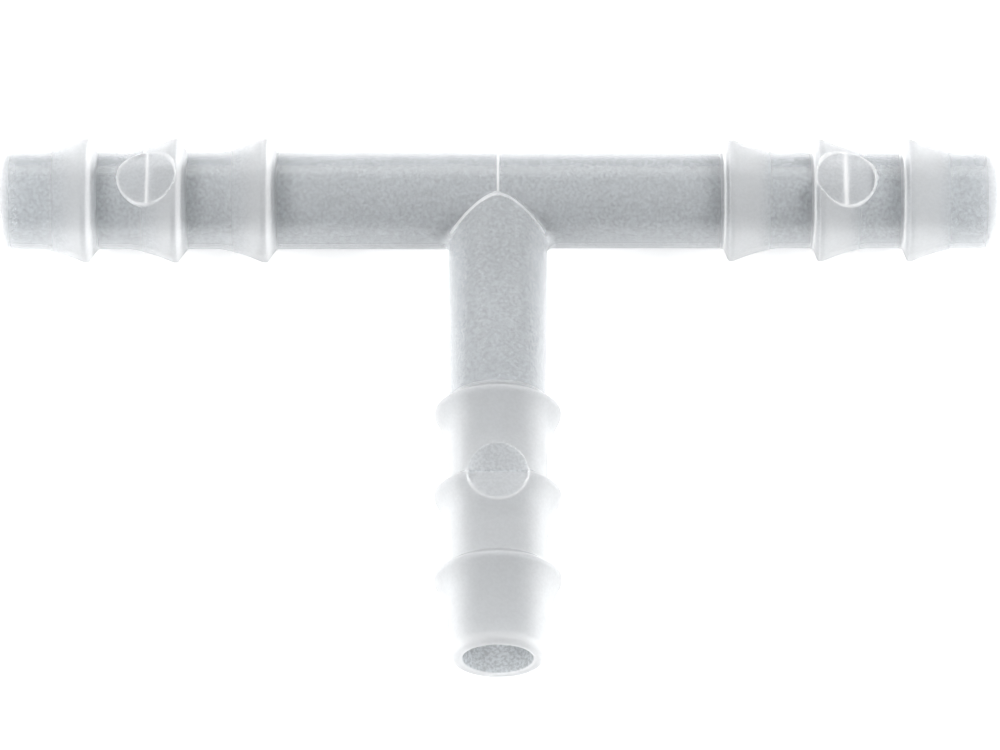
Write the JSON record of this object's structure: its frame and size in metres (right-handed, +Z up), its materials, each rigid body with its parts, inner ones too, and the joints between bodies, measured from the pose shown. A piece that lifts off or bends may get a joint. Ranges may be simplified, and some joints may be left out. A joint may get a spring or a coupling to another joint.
{
  "type": "barbed tee connector",
  "caption": "One-piece translucent plastic tee that joins soft hoses, with a rounded nose and stepped barbs on each of its equal tails and an open bore through all of them.",
  "frame": {"origin": "where the run's axis meets the branch's axis", "axes": "+X along the run to the right, branch along -Y, +Z up on the side with the ejector-pin marks"},
  "size_m": [0.08, 0.0455, 0.01],
  "materials": {
    "natural_plastic": "satin, translucent, undyed polyolefin"
  },
  "bodies": {
    "root": {"junction": "natural_plastic", "left_stem": "natural_plastic", "left_inner_barb": "natural_plastic", "left_middle_barb": "natural_plastic", "left_outer_barb": "natural_plastic", "left_nose": "natural_plastic", "right_stem": "natural_plastic", "right_inner_barb": "natural_plastic", "right_middle_barb": "natural_plastic", "right_outer_barb": "natural_plastic", "right_nose": "natural_plastic", "branch_stem": "natural_plastic", "branch_inner_barb": "natural_plastic", "branch_middle_barb": "natural_plastic", "branch_outer_barb": "natural_plastic", "branch_nose": "natural_plastic"}
  },
  "joints": []
}
